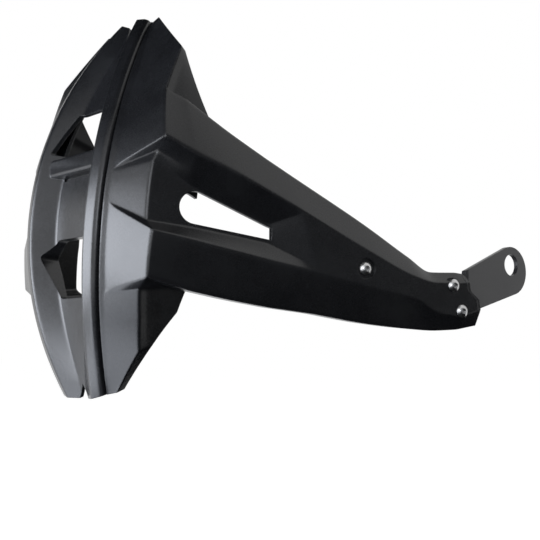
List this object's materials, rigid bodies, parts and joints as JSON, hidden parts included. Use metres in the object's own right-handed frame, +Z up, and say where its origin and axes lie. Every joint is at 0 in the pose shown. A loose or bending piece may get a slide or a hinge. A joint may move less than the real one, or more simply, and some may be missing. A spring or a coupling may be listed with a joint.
{
  "type": "motorcycle rear hugger mudguard",
  "caption": "Rear hugger mudguard: a vented curved shield of black moulded plastic on a tapering side arm, screwed to a bent metal bracket with an axle hole.",
  "frame": {"origin": "centre of the bracket's axle hole, on the bracket's outer face", "axes": "+X forward, +Y from the bracket's outer face towards the shield (the left), +Z up"},
  "size_m": [0.3693, 0.2682, 0.3016],
  "materials": {
    "moulded_plastic": "satin",
    "black_steel": "satin",
    "zinc_steel": "satin"
  },
  "bodies": {
    "root": {"centre_panel": "moulded_plastic", "right_panel": "moulded_plastic", "left_panel": "moulded_plastic", "bracket": "black_steel", "arm_screw_1": "zinc_steel", "arm_screw_2": "zinc_steel", "arm_screw_3": "zinc_steel", "arm_nut_1": "zinc_steel", "arm_nut_2": "zinc_steel", "arm_nut_3": "zinc_steel", "panel_screw_1": "zinc_steel", "panel_screw_2": "zinc_steel", "panel_screw_3": "zinc_steel", "panel_screw_4": "zinc_steel", "panel_screw_5": "zinc_steel", "panel_screw_6": "zinc_steel"}
  },
  "joints": []
}
